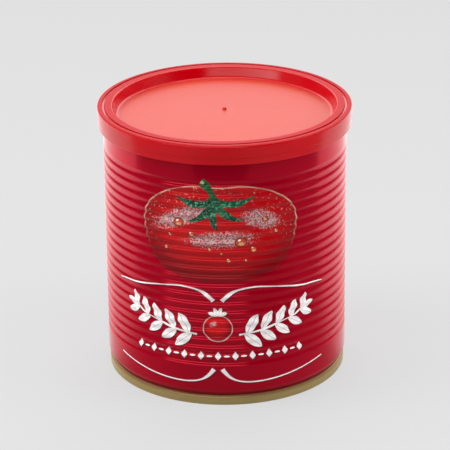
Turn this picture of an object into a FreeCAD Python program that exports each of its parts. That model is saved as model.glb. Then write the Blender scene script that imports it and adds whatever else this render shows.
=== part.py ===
import FreeCAD, Part
import math
import os

# A food tin of tomato paste: a beaded steel wall, solid because it is shut and full, a base end
# seamed to its necked foot, and a thin plastic lid snapped over its upper seam.
# Every piece is turned about Z. The origin is the centre of the ring that the tin stands on,
# and all sizes are millimetres.

# Tin as a whole
tin_height = 111.3            # standing ring to the top of the upper seam
wall_dia = 99.0               # plain bands, and crests between the beads

# Wall, from the foot up
neck_inset = 1.25             # how far the wall draws in where it enters the base seam
neck_rise = 0.5               # upright stretch of the neck
shoulder_rise = 2.3           # slope from the neck out to the full wall
shoulder_round = 1.3
neck_round = 0.4
lower_band = 10.2             # plain wall between the shoulder and the first bead
upper_band = 10.85            # plain wall between the last bead and the upper seam
bead_count = 21
bead_depth = 0.65

# Upper seam and the tin's own top end, which the lid hides
seam_height = 3.2
seam_width = 1.4
seam_overhang = 1.1           # how far the seam stands out from the wall
seam_round = 0.45
chuck_wall_taper = 1.0        # the end's wall draws in this much on its way down
end_round = 0.8

# Base end: double seam, chuck wall and stepped panel
base_seam_overhang = 0.75     # how far the seam stands out from the neck
base_seam_height = 4.2
base_seam_width = 1.4
base_seam_round = 0.4
base_chuck_taper = 0.5
trough_gauge = 0.8            # end left above the channel that runs round its panel
trough_width = 1.6
panel_gauge = 0.7             # end left above the middle of the panel
panel_step = 0.3              # each ring of the panel lies this much deeper than the one around it
panel_rings = 4
ring_width = 8.0
step_width = 0.8

# Lid
seam_clearance = 0.15         # between the lid's channel or snap bead and the upper seam
skirt_gauge = 0.9
lid_gauge = 1.0
skirt_height = 8.0
skirt_drop = 4.9              # from the lid's top down to the fine step in the skirt
skirt_step = 0.2
skirt_round = 0.3
rim_round = 0.9
rim_width = 2.45              # outside of the skirt to the middle of the groove
groove_width = 1.0
groove_depth = 0.8
groove_round = 0.2
ledge_width = 6.15            # outside of the skirt to the inner edge of the flat ledge
recess_slope = 1.4            # how far the recess wall draws in on its way down
recess_depth = 4.5
panel_crown = 1.4             # rise of the sunk panel from its edge to its middle
ledge_round = 0.7
foot_round = 1.0
snap_radius = 0.5             # bead inside the skirt that catches under the upper seam
end_clearance = 1.2           # air between the lid's panel and the tin's top end
gate_height = 1.0             # stub left by moulding at the middle of the panel
gate_foot_dia = 1.8
gate_tip_dia = 1.2
gate_round = 0.2


def at(radius, height):
    """A point of a turned outline."""
    return FreeCAD.Vector(radius, 0, height)


def segment(start, end):
    """Straight edge, or nothing where two rounds meet with no flat between them."""
    if start.distanceToPoint(end) < 1e-6:
        return []
    return [Part.LineSegment(start, end).toShape()]


def rounded(corners):
    """Edges through (radius, height, round) corners, each turned with an arc of its round."""
    edges = []
    start = at(*corners[0][:2])
    for before, corner, after in zip(corners, corners[1:], corners[2:]):
        tip = at(*corner[:2])
        if corner[2]:
            back = (at(*before[:2]) - tip).normalize()
            ahead = (at(*after[:2]) - tip).normalize()
            half_angle = back.getAngle(ahead) / 2
            reach = corner[2] / math.tan(half_angle)
            inward = (back + ahead).normalize()
            middle = tip + inward * (corner[2] / math.sin(half_angle) - corner[2])
            edges += segment(start, tip + back * reach)
            edges.append(Part.Arc(tip + back * reach, middle, tip + ahead * reach).toShape())
            start = tip + ahead * reach
        else:
            edges += segment(start, tip)
            start = tip
    return edges + segment(start, at(*corners[-1][:2]))


def turned(edges):
    """Solid of revolution of a closed outline about Z."""
    face = Part.Face(Part.Wire(edges))
    solid = face.revolve(FreeCAD.Vector(0, 0, 0), FreeCAD.Vector(0, 0, 1), 360)
    return solid if solid.Volume > 0 else solid.reversed()


def beads(radius, bottom, top):
    """Rolled beads between two heights: equal arcs, hollow and crest by turns, that leave the
    plain wall and each other at a tangent."""
    pitch = (top - bottom) / bead_count
    rise = pitch / 4
    arc_radius = (rise ** 2 + (bead_depth / 2) ** 2) / bead_depth
    half_turn = math.asin(rise / arc_radius) / 2
    lean = arc_radius * (1 - math.cos(half_turn))
    climb = arc_radius * math.sin(half_turn)
    crest, flank, hollow = radius, radius - bead_depth / 2, radius - bead_depth
    edges = [Part.Arc(at(crest, bottom), at(crest - lean, bottom + climb),
                      at(flank, bottom + rise)).toShape()]
    for number in range(bead_count):
        low = bottom + number * pitch
        edges.append(Part.Arc(at(flank, low + rise), at(hollow, low + 2 * rise),
                              at(flank, low + 3 * rise)).toShape())
        if number < bead_count - 1:
            edges.append(Part.Arc(at(flank, low + 3 * rise), at(crest, low + pitch),
                                  at(flank, low + pitch + rise)).toShape())
    edges.append(Part.Arc(at(flank, top - rise), at(crest - lean, top - climb),
                          at(crest, top)).toShape())
    return edges


def tin_body():
    """Wall with its neck, beads and upper seam. The top end's panel closes it under the lid."""
    wall = wall_dia / 2
    neck = wall - neck_inset
    neck_top = base_seam_height + neck_rise
    shoulder = neck_top + shoulder_rise
    seam_bottom = tin_height - seam_height
    seam = wall + seam_overhang
    bore = seam - seam_width
    end_panel = tin_height - recess_depth - end_clearance
    foot = rounded([
        (0, base_seam_height, 0),
        (neck, base_seam_height, 0),
        (neck, neck_top, neck_round),
        (wall, shoulder, shoulder_round),
        (wall, shoulder + lower_band, 0),
    ])
    top = rounded([
        (wall, seam_bottom - upper_band, 0),
        (wall, seam_bottom, seam_round),
        (seam, seam_bottom, seam_round),
        (seam, tin_height, seam_round),
        (bore, tin_height, seam_round),
        (bore - chuck_wall_taper, end_panel, end_round),
        (0, end_panel, 0),
        (0, base_seam_height, 0),
    ])
    return turned(foot + beads(wall, shoulder + lower_band, seam_bottom - upper_band) + top)


def base_end():
    """Lacquered end: the seam ring that the tin stands on, and the stepped panel inside it."""
    seam = wall_dia / 2 - neck_inset + base_seam_overhang
    bore = seam - base_seam_width
    trough = bore - base_chuck_taper
    trough_top = base_seam_height - trough_gauge
    middle = base_seam_height - panel_gauge
    edge = trough - trough_width
    corners = [
        (0, base_seam_height, 0),
        (seam, base_seam_height, base_seam_round),
        (seam, 0, base_seam_round),
        (bore, 0, base_seam_round),
        (trough, trough_top, base_seam_round),
        (edge, trough_top, base_seam_round),
    ]
    for ring in range(panel_rings):
        height = middle - (panel_rings - 1 - ring) * panel_step
        if ring:
            edge -= ring_width
            corners.append((edge, height - panel_step, base_seam_round))
        edge -= step_width
        corners.append((edge, height, base_seam_round))
    corners += [(0, middle, 0), (0, base_seam_height, 0)]
    return turned(rounded(corners))


def lid():
    """Lid: skirt with a fine step, rounded rim, groove, flat ledge and sunk, crowned panel."""
    top = tin_height + lid_gauge
    skirt_bottom = top - skirt_height
    channel = wall_dia / 2 + seam_overhang + seam_clearance
    skirt = channel + skirt_gauge
    groove_out = skirt - rim_width + groove_width / 2
    groove_in = groove_out - groove_width
    ledge = skirt - ledge_width
    recess = ledge - recess_slope
    panel = top - recess_depth
    middle = panel + panel_crown
    crown_slope = math.atan(panel_crown / (recess / 2))
    crown_round = (recess / 2 - gate_foot_dia) / math.tan(crown_slope / 2)
    snap = tin_height - seam_height - seam_clearance - snap_radius
    outside = rounded([
        (0, middle + gate_height, 0),
        (gate_tip_dia / 2, middle + gate_height, gate_round),
        (gate_foot_dia / 2, middle, gate_round),
        (recess / 2, middle, crown_round),
        (recess, panel, foot_round),
        (ledge, top, ledge_round),
        (groove_in, top, 0),
        (groove_in, top - groove_depth, groove_round),
        (groove_out, top - groove_depth, groove_round),
        (groove_out, top, 0),
        (skirt, top, rim_round),
        (skirt, top - skirt_drop, 0),
        (skirt - skirt_step, top - skirt_drop - skirt_step, 0),
        (skirt - skirt_step, skirt_bottom, skirt_round),
        (channel, skirt_bottom, 0),
        (channel, snap - snap_radius, 0),
    ])
    catch = [Part.Arc(at(channel, snap - snap_radius), at(channel - snap_radius, snap),
                      at(channel, snap + snap_radius)).toShape()]
    inside = rounded([
        (channel, snap + snap_radius, 0),
        (channel, tin_height, 0),
        (ledge + lid_gauge, tin_height, ledge_round),
        (recess + lid_gauge, panel - lid_gauge, foot_round),
        (recess / 2, middle - lid_gauge, crown_round),
        (0, middle - lid_gauge, 0),
        (0, middle + gate_height, 0),
    ])
    return turned(outside + catch + inside)


os.makedirs("parts", exist_ok=True)
for name, make in (("tin_body", tin_body), ("base_end", base_end), ("lid", lid)):
    shape = make()
    shape.exportStep("parts/" + name + ".step")
    print(name, "valid", shape.isValid(), "solids", len(shape.Solids), "volume", round(shape.Volume, 1))
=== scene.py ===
import math

import bmesh
import bpy
from mathutils import Matrix, Vector, geometry


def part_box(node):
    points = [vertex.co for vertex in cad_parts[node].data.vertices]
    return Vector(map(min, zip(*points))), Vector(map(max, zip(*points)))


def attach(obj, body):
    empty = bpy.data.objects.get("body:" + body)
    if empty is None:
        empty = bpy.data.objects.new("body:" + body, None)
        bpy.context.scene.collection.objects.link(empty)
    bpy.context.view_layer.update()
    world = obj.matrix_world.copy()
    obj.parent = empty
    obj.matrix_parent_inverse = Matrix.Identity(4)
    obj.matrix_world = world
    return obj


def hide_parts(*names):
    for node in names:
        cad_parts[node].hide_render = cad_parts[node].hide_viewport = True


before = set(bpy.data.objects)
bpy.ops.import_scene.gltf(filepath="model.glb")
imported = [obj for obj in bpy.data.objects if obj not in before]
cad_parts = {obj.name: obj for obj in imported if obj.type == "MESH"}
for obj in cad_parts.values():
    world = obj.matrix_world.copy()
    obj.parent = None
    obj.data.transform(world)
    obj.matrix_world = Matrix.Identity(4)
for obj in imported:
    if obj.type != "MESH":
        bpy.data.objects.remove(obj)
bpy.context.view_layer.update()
mm = 0.001


# ---------------------------------------------------------------------------------------------
# Wall of the tin: printed and lacquered tinplate, rolled into beads to stiffen it, necked in
# at the foot and flanged into the upper seam, which the lid covers.
# ---------------------------------------------------------------------------------------------
body_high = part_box("tin_body")[1]
end_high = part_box("base_end")[1]
lid_low, lid_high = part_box("lid")

seam_radius = body_high[0]
seam_overhang = 1.1 * mm
seam_height = 3.2 * mm
seam_width = 1.4 * mm
top_end_depth = 5.7 * mm
neck_depth = 1.25 * mm
neck_height = 2.8 * mm
lower_band = 10.2 * mm
upper_band = 14.05 * mm

wall_radius = seam_radius - seam_overhang
neck_radius = wall_radius - neck_depth
wall_foot = end_high[2]
tin_top = body_high[2]
shoulder = wall_foot + neck_height
bead_zone_low = shoulder + lower_band
bead_zone_high = tin_top - upper_band
bead_count = 21
bead_depth = 0.65 * mm
bead_pitch = (bead_zone_high - bead_zone_low) / bead_count


def bead_surface(height):
    """Radius of the wall at a height: equal arcs, hollow and crest by turns, between plain bands."""
    if not bead_zone_low < height < bead_zone_high:
        return wall_radius
    rise = bead_pitch / 4
    arc_radius = (rise ** 2 + (bead_depth / 2) ** 2) / bead_depth
    place = (height - bead_zone_low) % bead_pitch
    if rise < place < 3 * rise:
        from_middle = place - 2 * rise
        return wall_radius - bead_depth + arc_radius - math.sqrt(arc_radius ** 2 - from_middle ** 2)
    from_middle = min(place, bead_pitch - place)
    return wall_radius - arc_radius + math.sqrt(arc_radius ** 2 - from_middle ** 2)


def rounded(corners, steps=5):
    """Points of an outline whose (radius, height, round) corners are turned with arcs."""
    points = [Vector(corners[0][:2])]
    for before, corner, after in zip(corners, corners[1:], corners[2:]):
        tip = Vector(corner[:2])
        if not corner[2]:
            points.append(tip)
            continue
        back = (Vector(before[:2]) - tip).normalized()
        ahead = (Vector(after[:2]) - tip).normalized()
        half = back.angle(ahead) / 2
        centre = tip + (back + ahead).normalized() * (corner[2] / math.sin(half))
        start = tip + back * (corner[2] / math.tan(half)) - centre
        end = tip + ahead * (corner[2] / math.tan(half)) - centre
        for step in range(steps + 1):
            points.append(centre + start.slerp(end, step / steps) * corner[2])
    points.append(Vector(corners[-1][:2]))
    return points


def turned(name, outline, steps=224):
    """Closed solid made by spinning an outline, from axis to axis, once about Z."""
    mesh = bmesh.new()
    verts = [mesh.verts.new((point[0], 0, point[1])) for point in outline]
    edges = [mesh.edges.new(pair) for pair in zip(verts, verts[1:])]
    bmesh.ops.spin(mesh, geom=verts + edges, cent=(0, 0, 0), axis=(0, 0, 1), angle=2 * math.pi,
                   steps=steps, use_merge=True)
    bmesh.ops.remove_doubles(mesh, verts=mesh.verts, dist=0.001 * mm)
    bmesh.ops.recalc_face_normals(mesh, faces=mesh.faces)
    return piece(name, mesh)


def piece(name, mesh):
    """Object of a finished bmesh, smooth but for its sharp corners."""
    for face in mesh.faces:
        face.smooth = True
    for edge in mesh.edges:
        edge.smooth = edge.calc_face_angle(0) < math.radians(40)
    data = bpy.data.meshes.new(name)
    mesh.to_mesh(data)
    mesh.free()
    made = bpy.data.objects.new(name, data)
    bpy.context.collection.objects.link(made)
    return made


beads_high = [bead_zone_low + (bead_zone_high - bead_zone_low) * step / (bead_count * 12)
              for step in range(bead_count * 12 + 1)]
seam_low = tin_top - seam_height
seam_bore = seam_radius - seam_width
end_panel = tin_top - top_end_depth
wall_outline = rounded([
    (0, wall_foot, 0),
    (neck_radius, wall_foot, 0),
    (neck_radius, wall_foot + 0.5 * mm, 0.4 * mm),
    (wall_radius, shoulder, 1.3 * mm),
    (wall_radius, bead_zone_low - 0.5 * mm, 0),
])
wall_outline += [Vector((bead_surface(height), height)) for height in beads_high]
wall_outline += rounded([
    (wall_radius, bead_zone_high + 0.5 * mm, 0),
    (wall_radius, seam_low, 0.45 * mm),
    (seam_radius, seam_low, 0.45 * mm),
    (seam_radius, tin_top, 0.45 * mm),
    (seam_bore, tin_top, 0.45 * mm),
    (seam_bore - 1 * mm, end_panel, 0.8 * mm),
    (0, end_panel, 0),
])
wall = turned("tin_wall", wall_outline)


def adder(tree):
    """Function that adds a node to a tree, with its settings, and sets or links its inputs."""
    def add(kind, inputs=None, **settings):
        node = tree.nodes.new(kind)
        for key, value in settings.items():
            setattr(node, key, value)
        for key, value in (inputs or {}).items():
            if isinstance(value, bpy.types.NodeSocket):
                tree.links.new(value, node.inputs[key])
            else:
                node.inputs[key].default_value = value
        return node
    return add


def nodes_of(name):
    """New material with its node tree, its shader and the function that adds nodes to it."""
    material = bpy.data.materials.new(name)
    material.use_nodes = True
    tree = material.node_tree
    return material, tree, tree.nodes["Principled BSDF"], adder(tree)


def math_node(operation, first, second=0.0):
    """Output of one sum on numbers or sockets."""
    return add("ShaderNodeMath", {0: first, 1: second}, operation=operation).outputs[0]


def linear(value, low, high, start=0.0, end=1.0, kind="LINEAR"):
    """Value mapped from the range low to high onto the range start to end."""
    sockets = {"Value": value, "From Min": low, "From Max": high, "To Min": start, "To Max": end}
    return add("ShaderNodeMapRange", sockets, interpolation_type=kind).outputs["Result"]


def ramp(value, low, high, start=0.0, end=1.0):
    """The same, with a soft step in place of a straight line."""
    return linear(value, low, high, start, end, kind="SMOOTHSTEP")


def blend(factor, under, over):
    """Colour laid over another by a mask."""
    sockets = {"Factor": factor, "A": under, "B": over}
    return add("ShaderNodeMix", sockets, data_type="RGBA").outputs["Result"]


def noise(place, scale, detail, roughness=0.5):
    """Soft random pattern at a place."""
    sockets = {"Vector": place, "Scale": scale, "Detail": detail, "Roughness": roughness}
    return add("ShaderNodeTexNoise", sockets).outputs["Fac"]


label_place = bpy.data.node_groups.new("label_place", "ShaderNodeTree")
for socket in ("Along", "Up"):
    label_place.interface.new_socket(socket, in_out="OUTPUT", socket_type="NodeSocketFloat")
add = adder(label_place)
split = add("ShaderNodeSeparateXYZ", {"Vector": add("ShaderNodeTexCoord").outputs["Object"]})
front = math_node("MULTIPLY", split.outputs["Y"], -1.0)
turn = math_node("ARCTAN2", split.outputs["X"], front)
add("NodeGroupOutput", {"Along": math_node("MULTIPLY", turn, wall_radius / mm),
                        "Up": math_node("MULTIPLY", split.outputs["Z"], 1 / mm)})

wall_lacquer, tree, shader, add = nodes_of("wall_lacquer")
place = add("ShaderNodeTexCoord").outputs["Object"]
label = add("ShaderNodeGroup", node_tree=label_place)
up = label.outputs["Up"]
cloud = noise(place, 38.0, 4.0)
speck = noise(place, 1500.0, 2.0)
half_way_round = math.pi * wall_radius / mm
to_weld = math_node("SUBTRACT", half_way_round, math_node("ABSOLUTE", label.outputs["Along"]))
margin = linear(to_weld, 1.75, 1.85, 1.0, 0.0)
weld = linear(to_weld, 0.3, 0.45, 1.0, 0.0)
red = blend(cloud, (0.530, 0.0007, 0.0180, 1), (0.610, 0.0011, 0.0230, 1))
steel = blend(noise(place, 700.0, 3.0), (0.40, 0.38, 0.36, 1), (0.52, 0.50, 0.47, 1))
colour = blend(margin, red, blend(weld, steel, (0.16, 0.15, 0.15, 1)))
# Painted shade: the wall colour darkens towards near black over its lowest 2 mm, where the neck sits in
# shadow above the base seam.
shade = linear(up, wall_foot / mm, wall_foot / mm + 2.0, 0.7, 0.0)
colour = blend(shade, colour, (0.03, 0.002, 0.002, 1))
tree.links.new(colour, shader.inputs["Base Color"])
tree.links.new(linear(margin, 0.0, 1.0, 0.5, 1.0), shader.inputs["Metallic"])
smooth_band = linear(up, bead_zone_high / mm - 0.5, bead_zone_high / mm + 1.0, 1.0, 0.6)
tree.links.new(math_node("MULTIPLY", linear(cloud, 0.0, 1.0, 0.12, 0.20), smooth_band),
               shader.inputs["Roughness"])
ripple = add("ShaderNodeBump", {"Height": math_node("ADD", speck, weld), "Strength": 0.10,
                                "Distance": 0.02 * mm})
tree.links.new(ripple.outputs["Normal"], shader.inputs["Normal"])
shader.inputs["IOR"].default_value = 1.5
wall.data.materials.append(wall_lacquer)
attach(wall, "root")
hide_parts("tin_body")


# ---------------------------------------------------------------------------------------------
# Base end: pressed tinplate in gold lacquer, double-seamed to the necked foot. Its seam is the
# ring that the tin stands on, and its sunk panel steps up in rings towards the middle.
# ---------------------------------------------------------------------------------------------
ring_radius = end_high[0]
ring_bore = ring_radius - seam_width
trough = ring_bore - 0.5 * mm
trough_top = wall_foot - 0.8 * mm
middle = wall_foot - 0.7 * mm
bend = 0.4 * mm
ring_count = 4
ring_step = 0.3 * mm
ring_gap = 8.0 * mm
ring_slope = 0.8 * mm
edge = trough - 1.6 * mm
end_corners = [
    (0, wall_foot, 0),
    (ring_radius, wall_foot, 1.1 * mm),
    (ring_radius, 0, bend),
    (ring_bore, 0, bend),
    (trough, trough_top, bend),
    (edge, trough_top, bend),
]
for ring in range(ring_count):
    height = middle - (ring_count - 1 - ring) * ring_step
    if ring:
        edge -= ring_gap
        end_corners.append((edge, height - ring_step, bend))
    edge -= ring_slope
    end_corners.append((edge, height, bend))
end_corners.append((0, middle, 0))
base = turned("base_seam", rounded(end_corners))

end_lacquer, tree, shader, add = nodes_of("end_lacquer")
place = add("ShaderNodeTexCoord").outputs["Object"]
stretch = add("ShaderNodeMapping", {"Vector": place, "Scale": (90, 90, 1500)}).outputs["Vector"]
height = add("ShaderNodeSeparateXYZ", {"Vector": place}).outputs["Z"]
gold = blend(noise(place, 60.0, 5.0), (0.53, 0.385, 0.145, 1), (0.62, 0.455, 0.190, 1))
# Painted shade: the gold turns dark brown towards the top of the seam ring, where the necked wall above
# shades it.
painted_ring_shade = linear(height, 2.6 * mm, 3.7 * mm, 0.0, 0.6)
tree.links.new(blend(painted_ring_shade, gold, (0.26, 0.085, 0.045, 1)), shader.inputs["Base Color"])
tree.links.new(linear(noise(stretch, 1.0, 3.0), 0.0, 1.0, 0.24, 0.42), shader.inputs["Roughness"])
shader.inputs["Metallic"].default_value = 0.55
base.data.materials.append(end_lacquer)
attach(base, "root")
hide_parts("base_end")


# ---------------------------------------------------------------------------------------------
# Lid: one thin moulding of red polyethylene, pressed on over the upper seam. Rounded rim, fine
# groove, flat ledge, sunk panel with the moulding stub at its middle, and a stepped skirt.
# ---------------------------------------------------------------------------------------------
skirt = lid_high[0]
lid_top = lid_high[2]
skirt_low = lid_low[2]
channel = seam_radius + 0.15 * mm
gauge = 1.0 * mm
groove_out = skirt - 1.95 * mm
groove_in = groove_out - 1.0 * mm
groove_low = lid_top - 0.8 * mm
ledge = skirt - 6.15 * mm
recess = ledge - 1.4 * mm
panel = lid_top - 4.5 * mm
middle = panel + 1.4 * mm
stub_top = middle + 1.0 * mm
skirt_step = lid_top - 4.9 * mm
lower_skirt = skirt - 0.2 * mm
crown_round = (recess / 2 - 1.8 * mm) / math.tan(math.atan(2 * (middle - panel) / recess) / 2)
lid_outline = rounded([
    (0, stub_top, 0),
    (0.6 * mm, stub_top, 0.2 * mm),
    (0.9 * mm, middle, 0.2 * mm),
    (recess / 2, middle, crown_round),
    (recess, panel, 1.0 * mm),
    (ledge, lid_top, 0.7 * mm),
    (groove_in, lid_top, 0.12 * mm),
    (groove_in, groove_low, 0.2 * mm),
    (groove_out, groove_low, 0.2 * mm),
    (groove_out, lid_top, 0.12 * mm),
    (skirt, lid_top, 0.9 * mm),
    (skirt, skirt_step, 0.1 * mm),
    (lower_skirt, skirt_step - 0.2 * mm, 0.1 * mm),
    (lower_skirt, skirt_low, 0.3 * mm),
    (channel, skirt_low, 0.1 * mm),
    (channel, tin_top, 0),
    (ledge + gauge, tin_top, 0.7 * mm),
    (recess + gauge, panel - gauge, 1.0 * mm),
    (recess / 2, middle - gauge, crown_round),
    (0, middle - gauge, 0),
], steps=8)
lid = turned("lid_cap", lid_outline)

panel_edge = recess - 0.5 * mm
lid_plastic, tree, shader, add = nodes_of("lid_plastic")
place = add("ShaderNodeTexCoord").outputs["Object"]
cloud = noise(place, 45.0, 4.0)
grain = noise(place, 900.0, 3.0)
flat = add("ShaderNodeVectorMath", {0: place, 1: (1, 1, 0)}, operation="MULTIPLY").outputs["Vector"]
reach = add("ShaderNodeVectorMath", {0: flat}, operation="LENGTH").outputs["Value"]
height = add("ShaderNodeSeparateXYZ", {"Vector": place}).outputs["Z"]
on_panel = linear(reach, panel_edge - 1 * mm, panel_edge, 1.0, 0.0)
outside = linear(reach, ledge + 0.1 * mm, ledge + 0.5 * mm)
# The flat tops outside the ledge are given a darker colour and a rougher finish than the rest of the lid.
outer_tops = math_node("MULTIPLY", outside, linear(height, lid_top - 0.40 * mm, lid_top - 0.20 * mm))
colour = blend(cloud, (0.47, 0.0009, 0.0048, 1), (0.53, 0.0014, 0.0068, 1))
# The sunk panel is given a more orange, less deep red than the rest of the lid.
panel_tint = blend(cloud, (0.41, 0.020, 0.0060, 1), (0.46, 0.028, 0.0085, 1))
colour = blend(outer_tops, blend(on_panel, colour, panel_tint), (0.37, 0.0009, 0.0040, 1))
tree.links.new(colour, shader.inputs["Base Color"])
satin = math_node("ADD", math_node("MULTIPLY", outer_tops, 0.50), math_node("MULTIPLY", on_panel, 0.24))
rough = math_node("ADD", math_node("MULTIPLY", grain, 0.10), 0.14)
tree.links.new(math_node("ADD", rough, satin), shader.inputs["Roughness"])
moulded = add("ShaderNodeBump", {"Height": grain, "Strength": 0.12, "Distance": 0.05 * mm})
tree.links.new(moulded.outputs["Normal"], shader.inputs["Normal"])
lid.data.materials.append(lid_plastic)
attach(lid, "root")
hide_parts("lid")


# ---------------------------------------------------------------------------------------------
# Printed tomato: a large ripe fruit in process colours on the front of the wall, with a pale rim
# of light and soft speckled window lights. It is one layer of ink on the tinplate.
# ---------------------------------------------------------------------------------------------
def wrapped(name, mesh, lift, gauge=0.05 * mm):
    """Flat print, drawn in X and Z, cut fine and laid round the beads as a thin layer of ink."""
    for axis, step in ((0, 1.5 * mm), (2, 0.3 * mm)):
        low = min(vert.co[axis] for vert in mesh.verts)
        high = max(vert.co[axis] for vert in mesh.verts)
        normal = Vector((0, 0, 0))
        normal[axis] = 1
        for cut in range(1, math.ceil((high - low) / step)):
            bmesh.ops.bisect_plane(mesh, geom=mesh.verts[:] + mesh.edges[:] + mesh.faces[:],
                                   dist=0.001 * mm, plane_co=normal * (low + cut * step), plane_no=normal)
    bmesh.ops.remove_doubles(mesh, verts=mesh.verts, dist=0.001 * mm)
    for vert in mesh.verts:
        turn = vert.co.x / wall_radius
        radius = bead_surface(vert.co.z) + lift
        vert.co = (radius * math.sin(turn), -radius * math.cos(turn), vert.co.z)
    mesh.normal_update()
    inward = [face for face in mesh.faces
              if face.normal.dot(face.calc_center_median() * Vector((1, 1, 0))) < 0]
    bmesh.ops.reverse_faces(mesh, faces=inward)
    bmesh.ops.solidify(mesh, geom=mesh.faces[:], thickness=gauge)
    return piece(name, mesh)


fruit_middle = (1.0, 75.0)
fruit_half = (32.5, 21.0)
squareness = 2.3
dip_depth, dip_width = 0.10, 0.32
lobe_depth, lobe_count = 0.018, 5

tomato = bmesh.new()
bmesh.ops.create_circle(tomato, cap_ends=True, segments=120, radius=1)
for vert in tomato.verts:
    turn = math.atan2(vert.co.x, vert.co.y)
    swell = 1 - dip_depth * math.exp(-(turn / dip_width) ** 2) + lobe_depth * math.cos(lobe_count * turn)
    squared = (abs(vert.co.x) ** squareness + abs(vert.co.y) ** squareness) ** (-1 / squareness)
    vert.co = Vector((fruit_middle[0] + fruit_half[0] * vert.co.x * swell * squared, 0,
                      fruit_middle[1] + fruit_half[1] * vert.co.y * swell * squared)) * mm
tomato = wrapped("tomato_print", tomato, 0.02 * mm)

fruit_ink, tree, shader, add = nodes_of("fruit_ink")
place = add("ShaderNodeTexCoord").outputs["Object"]
label = add("ShaderNodeGroup", node_tree=label_place)


def oval(across, upward, middle, half, lean):
    """Distance from the middle of a leaning oval, 1 on its edge."""
    across = math_node("SUBTRACT", across, middle[0])
    upward = math_node("SUBTRACT", upward, middle[1])
    cos, sin = math.cos(lean), math.sin(lean)
    first = math_node("ADD", math_node("MULTIPLY", across, cos / half[0]),
                      math_node("MULTIPLY", upward, sin / half[0]))
    second = math_node("SUBTRACT", math_node("MULTIPLY", upward, cos / half[1]),
                       math_node("MULTIPLY", across, sin / half[1]))
    return math_node("SQRT", math_node("ADD", math_node("MULTIPLY", first, first),
                                       math_node("MULTIPLY", second, second)))


def from_place(label, middle, half):
    """How far along and up the label a point lies from a middle, in halves of a width and a height."""
    return [math_node("DIVIDE", math_node("SUBTRACT", label.outputs[way], middle[number]), half[number])
            for number, way in enumerate(("Along", "Up"))]


across, upward = from_place(label, fruit_middle, fruit_half)
grain = noise(place, 1500.0, 2.0, 0.6)
patchy = noise(place, 260.0, 3.0)
grit = noise(place, 1100.0, 1.0)
pale = blend(ramp(grit, 0.46, 0.60), (0.66, 0.44, 0.43, 1), (0.36, 0.15, 0.16, 1))
turn = math_node("ARCTAN2", across, upward)
turn_squared = math_node("MULTIPLY", turn, turn)
dip = math_node("EXPONENT", math_node("MULTIPLY", turn_squared, -1 / dip_width ** 2))
lobes = math_node("COSINE", math_node("MULTIPLY", turn, lobe_count))
swell = math_node("ADD", math_node("MULTIPLY", dip, -dip_depth), math_node("MULTIPLY", lobes, lobe_depth))
low_side = oval(across, upward, (0.03, 0.22), (1.05, 1.13), 0.0)
colour = blend(ramp(low_side, 0.60, 1.12), (0.56, 0.0018, 0.0060, 1), (0.25, 0.0010, 0.0060, 1))
warm = oval(across, upward, (-0.30, 0.10), (0.55, 0.45), 0.5)
colour = blend(ramp(warm, 0.2, 1.1, 0.4, 0.0), colour, (0.68, 0.008, 0.010, 1))
groove_side = oval(across, upward, (0.28, 0.62), (0.10, 0.42), 0.55)
colour = blend(ramp(groove_side, 0.2, 1.0, 0.5, 0.0), colour, (0.34, 0.001, 0.005, 1))
for middle_at, half, lean, strength in (
        ((-0.48, 0.28), (0.18, 0.50), -0.95, 1.05),
        ((0.02, -0.14), (0.50, 0.19), 0.08, 0.92),
        ((0.52, 0.24), (0.30, 0.20), -0.62, 1.00)):
    light = ramp(oval(across, upward, middle_at, half, lean), 0.25, 1.25, strength, 0.0)
    scatter = math_node("MULTIPLY", math_node("SUBTRACT", grain, 0.5), 4.5)
    dots = ramp(math_node("ADD", light, scatter), 0.30, 0.75)
    colour = blend(math_node("MULTIPLY", dots, ramp(light, 0.0, 0.5)), colour, pale)
squared = math_node("ADD", math_node("POWER", math_node("ABSOLUTE", across), squareness),
                    math_node("POWER", math_node("ABSOLUTE", upward), squareness))
far = math_node("DIVIDE", math_node("POWER", squared, 1 / squareness), math_node("ADD", swell, 1.0))
spray = math_node("MULTIPLY", ramp(grit, 0.66, 0.70), ramp(far, 0.45, 0.90, 0.0, 0.8))
colour = blend(math_node("MULTIPLY", spray, ramp(upward, -0.6, 0.3)), colour, (0.72, 0.42, 0.32, 1))
edge = math_node("MULTIPLY", ramp(far, 0.974, 0.985), ramp(upward, -0.45, 0.25))
edge = math_node("MULTIPLY", edge, ramp(patchy, 0.30, 0.62, 0.35, 1.0))
colour = blend(edge, colour, (0.62, 0.36, 0.27, 1))
tree.links.new(colour, shader.inputs["Base Color"])
ripple = add("ShaderNodeBump", {"Height": grain, "Strength": 0.10, "Distance": 0.02 * mm})
tree.links.new(ripple.outputs["Normal"], shader.inputs["Normal"])
shader.inputs["Metallic"].default_value = 0.25
shader.inputs["Roughness"].default_value = 0.28
shader.inputs["IOR"].default_value = 1.5
tomato.data.materials.append(fruit_ink)
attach(tomato, "root")


# ---------------------------------------------------------------------------------------------
# Drops of water printed on the fruit: amber beads with a dark outline, lit from above. Small
# ovals of ink of several sizes, laid over the fruit's own ink.
# ---------------------------------------------------------------------------------------------
drops = bmesh.new()
drop_stretch = 1.15
drop_places = [(-15.5, 78.6, 1.9), (-10.2, 74.2, 1.3), (-19.5, 73.0, 0.9), (9.6, 71.0, 2.1),
               (14.6, 67.8, 1.3), (19.5, 80.2, 1.2), (-21.0, 67.4, 0.8), (4.6, 63.5, 0.9),
               (24.0, 74.6, 0.9), (-3.0, 68.2, 0.8), (1.8, 66.4, 0.6), (11.5, 63.4, 0.6)]
for along, up, radius in drop_places:
    made = bmesh.ops.create_circle(drops, cap_ends=True, segments=20, radius=radius * mm)["verts"]
    for vert in made:
        vert.co = Vector((vert.co.x * drop_stretch + along * mm, 0, vert.co.y + up * mm))
drops = wrapped("drop_print", drops, 0.035 * mm)

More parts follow.
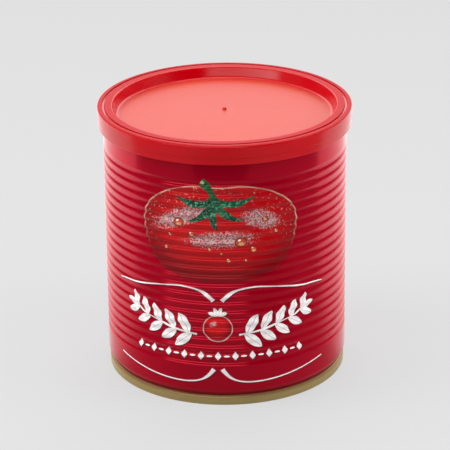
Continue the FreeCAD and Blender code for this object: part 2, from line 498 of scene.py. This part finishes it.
drop_ink, tree, shader, add = nodes_of("drop_ink")
label = add("ShaderNodeGroup", node_tree=label_place)
colour = (0.45, 0.06, 0.02, 1)
for along, up, radius in drop_places:
    across, upward = from_place(label, (along, up), (radius * drop_stretch, radius))
    far = oval(across, upward, (0.0, 0.0), (1.0, 1.0), 0.0)
    glow = ramp(oval(across, upward, (0.05, -0.35), (0.75, 0.55), 0.0), 0.3, 1.0, 1.0, 0.0)
    spot = ramp(oval(across, upward, (-0.25, 0.40), (0.30, 0.20), 0.4), 0.6, 1.1, 1.0, 0.0)
    colour = blend(glow, colour, (0.75, 0.34, 0.16, 1))
    colour = blend(spot, colour, (0.90, 0.80, 0.72, 1))
    rim = math_node("MULTIPLY", ramp(far, 0.78, 0.92), math_node("LESS_THAN", far, 1.2))
    colour = blend(rim, colour, (0.14, 0.008, 0.006, 1))
tree.links.new(colour, shader.inputs["Base Color"])
shader.inputs["Roughness"].default_value = 0.18
shader.inputs["IOR"].default_value = 1.5
drops.data.materials.append(drop_ink)
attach(drops, "root")


# ---------------------------------------------------------------------------------------------
# Printed calyx: five green sepals round the heart of the fruit's top and a stalk with its cut end,
# printed in green ink over the fruit.
# ---------------------------------------------------------------------------------------------
def stroke(mesh, knots, width, steps=24):
    """Flat band along a curve through knots of (along, up, handle before, handle after)."""
    curve = []
    for start, end in zip(knots, knots[1:]):
        span = geometry.interpolate_bezier(Vector(start[:2]), Vector(start[3]), Vector(end[2]),
                                           Vector(end[:2]), 40)
        curve += span[1:] if curve else span
    made = bmesh.ops.create_grid(mesh, x_segments=steps, y_segments=2, size=1)["verts"]
    for vert in made:
        share = (vert.co.x + 1) / 2
        place = share * (len(curve) - 1)
        near = min(int(place), len(curve) - 2)
        run = curve[near + 1] - curve[near]
        middle_point = curve[near].lerp(curve[near + 1], place - near)
        side = Vector((-run.y, run.x)).normalized() * (width(share) / 2 * vert.co.y)
        vert.co = Vector((middle_point.x + side.x, 0, middle_point.y + side.y)) * mm
    return made


def sepal(mesh, start, end, bow, breadth):
    """Pointed leaf from start to end that bows to one side."""
    run = Vector(end) - Vector(start)
    side = Vector((-run.y, run.x)) * bow
    first = Vector(start) + run * 0.35 + side
    second = Vector(start) + run * 0.75 + side
    stroke(mesh, [(*start, None, first), (*end, second, None)],
           lambda share: breadth * math.sin(math.pi * min(1, 0.12 + 0.88 * share) ** 0.8) ** 0.9)


calyx = bmesh.new()
heart = (-1.0, 88.5)
for end, bow, breadth in (((-16.5, 90.5), 0.22, 3.0), ((-12.0, 79.5), 0.20, 3.2),
                          ((0.5, 75.5), -0.14, 3.4), ((11.5, 80.5), -0.22, 3.2),
                          ((15.5, 91.0), -0.20, 2.9)):
    sepal(calyx, heart, end, bow, breadth)
made = bmesh.ops.create_circle(calyx, cap_ends=True, segments=24, radius=3.1)["verts"]
for vert in made:
    vert.co = Vector((heart[0] + vert.co.x, 0, heart[1] + vert.co.y * 0.62)) * mm
calyx = wrapped("calyx_print", calyx, 0.04 * mm)

green_ink, tree, shader, add = nodes_of("green_ink")
place = add("ShaderNodeTexCoord").outputs["Object"]
broad = ramp(noise(place, 160.0, 2.0), 0.35, 0.65)
fine = ramp(noise(place, 900.0, 4.0, 0.7), 0.50, 0.66, 0.0, 0.85)
colour = blend(broad, (0.004, 0.040, 0.017, 1), (0.018, 0.130, 0.055, 1))
colour = blend(fine, colour, (0.14, 0.44, 0.27, 1))
tree.links.new(colour, shader.inputs["Base Color"])
shader.inputs["Roughness"].default_value = 0.20
shader.inputs["IOR"].default_value = 1.5
calyx.data.materials.append(green_ink)
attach(calyx, "root")

stalk = bmesh.new()
stroke(stalk, [(-1.2, 88.6, None, (-1.5, 92.0)), (-6.0, 96.6, (-3.2, 94.6), None)],
       lambda share: 3.6 - 1.2 * math.sin(math.pi * min(1.0, share * 1.25) ** 0.9), 16)
stalk = wrapped("stalk_print", stalk, 0.05 * mm)

stalk_ink, tree, shader, add = nodes_of("stalk_ink")
place = add("ShaderNodeTexCoord").outputs["Object"]
label = add("ShaderNodeGroup", node_tree=label_place)
fine = ramp(noise(place, 700.0, 3.0), 0.35, 0.7)
cut_end = oval(label.outputs["Along"], label.outputs["Up"], (-6.0, 96.5), (1.5, 0.9), -0.6)
colour = blend(fine, (0.007, 0.050, 0.016, 1), (0.035, 0.135, 0.045, 1))
colour = blend(ramp(cut_end, 0.8, 1.1, 1.0, 0.0), colour, (0.42, 0.55, 0.28, 1))
tree.links.new(colour, shader.inputs["Base Color"])
shader.inputs["Roughness"].default_value = 0.20
shader.inputs["IOR"].default_value = 1.5
stalk.data.materials.append(stalk_ink)
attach(stalk, "root")


# ---------------------------------------------------------------------------------------------
# White print: two pairs of braces round two sprigs of leaves, four small leaves that crown the
# fruit between them, and a row of diamonds and dashes. White ink over a thin dark edge.
# ---------------------------------------------------------------------------------------------
def move(mesh, verts, shift):
    """Slide printed marks along and up the label."""
    bmesh.ops.translate(mesh, verts=verts, vec=Vector((shift[0], 0, shift[1])) * mm)


def brace(mesh, knots, thick, shift):
    """Pair of mirrored bands that swell towards the middle of the label."""
    for hand in (-1, 1):
        mirrored = [tuple([hand * knot[0], knot[1]] + [handle and (hand * handle[0], handle[1])
                                                       for handle in knot[2:]]) for knot in knots]
        move(mesh, stroke(mesh, mirrored, thick, 40), shift)


def leaf(mesh, place, heading, length, breadth, shift):
    """Pointed leaf in two halves with its rib left bare between them."""
    for hand in (-1, 1):
        half = bmesh.ops.create_circle(mesh, cap_ends=True, segments=28, radius=1)["verts"]
        faces = {face for vert in half for face in vert.link_faces}
        edges = {edge for vert in half for edge in vert.link_edges}
        cut = bmesh.ops.bisect_plane(mesh, geom=[*half, *edges, *faces], plane_co=(0, hand * 0.11, 0),
                                     plane_no=(0, hand, 0), clear_inner=True)
        half = [vert for vert in {*half, *cut["geom_cut"]}
                if isinstance(vert, bmesh.types.BMVert) and vert.is_valid]
        for vert in half:
            point = vert.co.x
            taper = max(0.0, 1 - point * point) ** 0.35
            along = length / 2 * (1 + point)
            out = breadth / 2 * vert.co.y * taper
            vert.co = Vector((place[0] + along * math.cos(heading) - out * math.sin(heading), 0,
                              place[1] + along * math.sin(heading) + out * math.cos(heading))) * mm
        move(mesh, half, shift)


def mark(mesh, place, half, segments, shift):
    """Oval dash, or with four segments a diamond."""
    made = bmesh.ops.create_circle(mesh, cap_ends=True, segments=segments, radius=1)["verts"]
    for vert in made:
        vert.co = Vector((place[0] + vert.co.x * half[0], 0, place[1] + vert.co.y * half[1])) * mm
    move(mesh, made, shift)


crown_heart = (0.0, 39.6)
row_up = 21.8
row_pitch = 7.0


def white_marks(shift):
    """Flat mesh of all the white print, moved as one."""
    mesh = bmesh.new()

    def swelling(share):
        return 0.45 + 0.20 * share + 1.15 * max(0.0, share - 0.7) / 0.3

    brace(mesh, [(47.6, 47.2, None, (44.6, 47.9)), (38.5, 48.2, (42.0, 48.1), (28.0, 49.0)),
                 (14.3, 51.6, (20.0, 51.9), (8.6, 51.4)), (1.7, 45.8, (4.4, 49.4), None)], swelling, shift)
    brace(mesh, [(47.6, 14.0, None, (33.0, 11.6)), (15.0, 10.1, (24.0, 10.1), (7.0, 10.2)),
                 (1.7, 16.2, (4.4, 12.2), None)], swelling, shift)
    for hand in (-1, 1):
        stem = [(hand * 8.6, 31.0, None, (hand * 18.0, 32.5)),
                (hand * 36.0, 38.0, (hand * 28.0, 34.5), None)]
        move(mesh, stroke(mesh, stem, lambda share: 0.9 - 0.4 * share, 30), shift)
        spine = geometry.interpolate_bezier(*(Vector(point) for point in (
            stem[0][:2], stem[0][3], stem[1][2], stem[1][:2])), 41)
        for number, step in enumerate(range(3, 40, 9)):
            heading = math.atan2(*reversed(spine[step + 1] - spine[step]))
            size = 9.4 - 0.6 * number
            for side in (-1, 1):
                leaf(mesh, spine[step + (side > 0)], heading + side * hand * 0.86, size, size * 0.44, shift)
        heading = math.atan2(*reversed(spine[-1] - spine[-2]))
        leaf(mesh, spine[-1], heading, 6.4, 2.9, shift)
    for lean, length in ((-1.25, 4.0), (-0.45, 3.7), (0.45, 3.7), (1.25, 4.0)):
        leaf(mesh, crown_heart, math.pi / 2 - lean, length, 1.6, shift)
    for step in range(-5, 6):
        mark(mesh, (step * row_pitch, row_up), (1.3, 1.8), 4, shift)
    for step in range(-5, 5):
        mark(mesh, ((step + 0.5) * row_pitch, row_up), (1.2, 0.34), 16, shift)
    return mesh


white = wrapped("white_print", white_marks((0, 0)), 0.045 * mm)
white_ink, tree, shader, add = nodes_of("white_ink")
place = add("ShaderNodeTexCoord").outputs["Object"]
thin = noise(place, 420.0, 4.0)
colour = blend(ramp(thin, 0.30, 0.62), (0.84, 0.76, 0.77, 1), (0.92, 0.90, 0.89, 1))
tree.links.new(colour, shader.inputs["Base Color"])
shader.inputs["Roughness"].default_value = 0.22
shader.inputs["IOR"].default_value = 1.5
white.data.materials.append(white_ink)
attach(white, "root")

edging = wrapped("white_print_edge", white_marks((0.32, -0.30)), 0.03 * mm)
edge_ink, tree, shader, add = nodes_of("edge_ink")
place = add("ShaderNodeTexCoord").outputs["Object"]
colour = blend(noise(place, 420.0, 4.0), (0.030, 0.002, 0.004, 1), (0.075, 0.003, 0.008, 1))
tree.links.new(colour, shader.inputs["Base Color"])
shader.inputs["Roughness"].default_value = 0.22
shader.inputs["IOR"].default_value = 1.5
edging.data.materials.append(edge_ink)
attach(edging, "root")


# ---------------------------------------------------------------------------------------------
# Small printed fruit between the two sprigs: a round red fruit with a pale rim and one speck of
# light, in the same ink as the large one.
# ---------------------------------------------------------------------------------------------
berry = bmesh.new()
berry_place = (0.0, 34.0)
berry_radius = 6.1
berry_height = 0.94
bmesh.ops.create_circle(berry, cap_ends=True, segments=64, radius=berry_radius * mm)
for vert in berry.verts:
    vert.co = Vector((vert.co.x + berry_place[0] * mm, 0, vert.co.y * berry_height + berry_place[1] * mm))
berry = wrapped("berry_print", berry, 0.03 * mm)

berry_ink, tree, shader, add = nodes_of("berry_ink")
place = add("ShaderNodeTexCoord").outputs["Object"]
label = add("ShaderNodeGroup", node_tree=label_place)
across, upward = from_place(label, berry_place, (berry_radius, berry_radius * berry_height))
low_side = oval(across, upward, (-0.08, 0.25), (1.0, 1.15), 0.0)
colour = blend(ramp(low_side, 0.4, 1.15), (0.66, 0.004, 0.008, 1), (0.24, 0.001, 0.006, 1))
glow = ramp(oval(across, upward, (-0.30, 0.30), (0.34, 0.24), 0.6), 0.2, 1.1, 1.0, 0.0)
glow = math_node("MULTIPLY", glow, ramp(noise(place, 1500.0, 2.0), 0.35, 0.6))
colour = blend(glow, colour, (0.85, 0.70, 0.68, 1))
rim = ramp(oval(across, upward, (0.0, 0.0), (1.0, 1.0), 0.0), 0.91, 0.95)
colour = blend(rim, colour, (0.66, 0.42, 0.38, 1))
tree.links.new(colour, shader.inputs["Base Color"])
shader.inputs["Metallic"].default_value = 0.2
shader.inputs["Roughness"].default_value = 0.18
shader.inputs["IOR"].default_value = 1.5
berry.data.materials.append(berry_ink)
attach(berry, "root")


# ---------------------------------------------------------------------------------------------
# Studio: a pale floor with a dark strip in front, a pale surround that is bright behind the tin and
# dim before it but for one white card, two lamps overhead, three at the sides, and the camera.
# ---------------------------------------------------------------------------------------------
def graded(value, stops):
    """Brightness read from a smooth curve through stops of (value, brightness)."""
    curve = add("ShaderNodeFloatCurve", {"Value": value})
    curve.mapping.use_clip = False
    points = curve.mapping.curves[0].points
    points[0].location = stops[0]
    points[-1].location = stops[-1]
    for stop in stops[1:-1]:
        points.new(*stop)
    curve.mapping.update()
    return curve.outputs["Value"]


floor_mesh = bmesh.new()
bmesh.ops.create_grid(floor_mesh, x_segments=1, y_segments=1, size=4.0)
floor = piece("floor", floor_mesh)
floor_paint, tree, shader, add = nodes_of("floor_paint")
tree.nodes.remove(shader)
light_path = add("ShaderNodeLightPath")
split = add("ShaderNodeSeparateXYZ", {"Vector": add("ShaderNodeTexCoord").outputs["Object"]})
askew = math_node("ADD", math_node("MULTIPLY", split.outputs["X"], -0.12), split.outputs["Y"])
mirrored = graded(linear(askew, -0.12, 0.28), [
    (0.0, 0.14), (0.15, 0.16), (0.21, 0.22), (0.265, 0.45), (0.32, 0.85), (0.42, 0.98), (0.6, 1.15),
    (1.0, 1.5)])
beside = linear(math_node("ABSOLUTE", split.outputs["X"]), 0.10, 0.12, 0.1, 1.0)
behind = linear(split.outputs["Y"], -0.21, -0.17)
mirrored = math_node("MULTIPLY", mirrored, math_node("MAXIMUM", beside, behind))
shine = add("ShaderNodeEmission", {"Color": (1, 1, 1, 1), "Strength": mirrored})
seen_by_camera = light_path.outputs["Is Camera Ray"]
paint = blend(seen_by_camera, (0.60, 0.60, 0.60, 1), (0.47, 0.47, 0.47, 1))
matt = add("ShaderNodeBsdfDiffuse", {"Color": paint})
plain = add("ShaderNodeEmission", {"Color": (0.76, 0.76, 0.76, 1), "Strength": 1.0})
seen = add("ShaderNodeMixShader", {0: math_node("MULTIPLY", seen_by_camera, 0.75), 1: matt.outputs[0],
                                   2: plain.outputs[0]})
both = add("ShaderNodeMixShader", {0: light_path.outputs["Is Glossy Ray"], 1: seen.outputs[0],
                                   2: shine.outputs[0]})
tree.links.new(both.outputs[0], tree.nodes["Material Output"].inputs["Surface"])
floor.data.materials.append(floor_paint)

world = bpy.data.worlds.new("studio")
bpy.context.scene.world = world
world.use_nodes = True
tree = world.node_tree
tree.nodes.clear()
add = adder(tree)
light_path = add("ShaderNodeLightPath")
split = add("ShaderNodeSeparateXYZ", {"Vector": add("ShaderNodeTexCoord").outputs["Generated"]})
turn = math_node("ARCTAN2", split.outputs["X"], math_node("MULTIPLY", split.outputs["Y"], -1.0))
glow = graded(math_node("DIVIDE", math_node("ABSOLUTE", turn), math.pi), [
    (0.0, 0.01), (0.5, 0.04), (0.63, 0.14), (0.73, 0.45), (0.82, 0.95), (1.0, 1.1)])
rise = ramp(split.outputs["Z"], 0.18, 0.42, 0.95, 2.3)
from_card = math_node("ABSOLUTE", math_node("ADD", turn, math.radians(16.5)))
card = linear(from_card, math.radians(35), math.radians(41), 1.0, 0.0)
card_foot = linear(split.outputs["Z"], 0.19, 0.22)
card_top = linear(split.outputs["Z"], 0.33, 0.36, 1.0, 0.0)
card_strength = 3.8
for mask in (card_foot, card_top, light_path.outputs["Is Glossy Ray"], card_strength):
    card = math_node("MULTIPLY", card, mask)
strength = math_node("ADD", math_node("MULTIPLY", glow, rise), card)
surround = add("ShaderNodeBackground", {"Color": (1, 1, 1, 1), "Strength": strength})
backdrop = add("ShaderNodeBackground", {"Color": (0.76, 0.76, 0.76, 1), "Strength": 1.0})
chosen = add("ShaderNodeMixShader", {0: light_path.outputs["Is Camera Ray"], 1: surround.outputs[0],
                                     2: backdrop.outputs[0]})
add("ShaderNodeOutputWorld", {"Surface": chosen.outputs[0]})


def lamp(name, place, aim, width, height, power, mirrored=True):
    """Rectangular soft lamp that faces a point."""
    data = bpy.data.lights.new(name, "AREA")
    data.shape = "RECTANGLE"
    data.size = width
    data.size_y = height
    data.energy = power
    made = bpy.data.objects.new(name, data)
    made.location = place
    made.rotation_euler = (Vector(aim) - Vector(place)).to_track_quat("-Z", "Y").to_euler()
    made.visible_glossy = mirrored
    bpy.context.collection.objects.link(made)


tin_middle = Vector((0, 0, lid_high[2] / 2))
lamp("overhead", (0, 0.15, 1.3), tin_middle, 1.0, 0.8, 3.2)
lamp("front_top", (0, -0.45, 1.25), tin_middle, 1.0, 0.6, 8.2, mirrored=False)
lamp("left_high", (-1.0, -0.1, 1.0), tin_middle, 0.7, 0.7, 9.2, mirrored=False)
lamp("left_low", (-1.15, -0.4, 0.55), tin_middle, 0.7, 0.7, 6.0, mirrored=False)
lamp("right_low", (1.15, -0.15, 0.62), tin_middle, 0.7, 0.7, 10.5, mirrored=False)

camera_data = bpy.data.cameras.new("camera")
camera_data.lens = 193.55
camera_data.sensor_width = 36
camera_data.clip_end = 20
camera = bpy.data.objects.new("camera", camera_data)
bpy.context.collection.objects.link(camera)
turn = math.radians(4.2)
tilt = math.radians(22.17)
lean = math.radians(-0.6)
distance = 1000 * mm
aim_height = 56 + 2.373 / math.cos(tilt)
aim = Vector((-0.3, 0, aim_height)) * mm
away = Vector((0, -math.cos(tilt), math.sin(tilt)))
pose = Matrix.Rotation(turn, 4, "Z") @ Matrix.Translation(aim + away * distance)
pose = pose @ Matrix.Rotation(math.pi / 2 - tilt, 4, "X") @ Matrix.Rotation(lean, 4, "Z")
camera.matrix_world = pose
bpy.context.scene.camera = camera

bpy.context.scene.view_settings.view_transform = "Standard"
